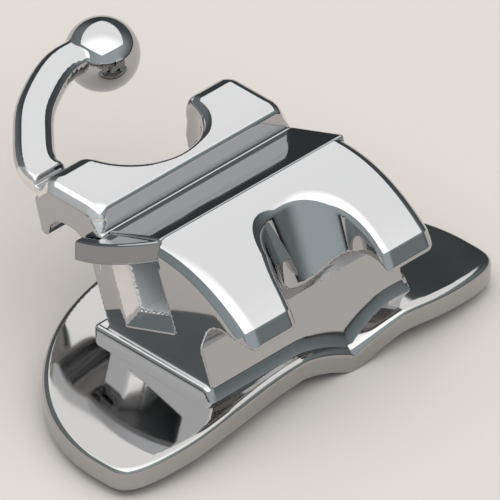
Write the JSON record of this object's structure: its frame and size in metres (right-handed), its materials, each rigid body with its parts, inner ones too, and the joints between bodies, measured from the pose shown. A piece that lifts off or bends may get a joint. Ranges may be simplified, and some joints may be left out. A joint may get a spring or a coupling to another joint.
{
  "type": "orthodontic buccal tube",
  "caption": "Direct-bond molar buccal tube: cast body with a capped rectangular slot, tie wings and a ball hook on a contoured bonding pad.",
  "frame": {"origin": "middle of the pad's tooth side, on its central flat land, under the slot", "axes": "+X distal along the slot, +Y gingival towards the hook, +Z buccal, away from the tooth"},
  "size_m": [0.0066, 0.006, 0.0026],
  "materials": {
    "body": "polished cast stainless steel",
    "pad": "polished stainless steel sheet",
    "cap": "polished stainless steel strip"
  },
  "bodies": {
    "root": {"tube_body": "body", "bonding_pad": "pad", "convertible_cap": "cap"}
  },
  "joints": []
}
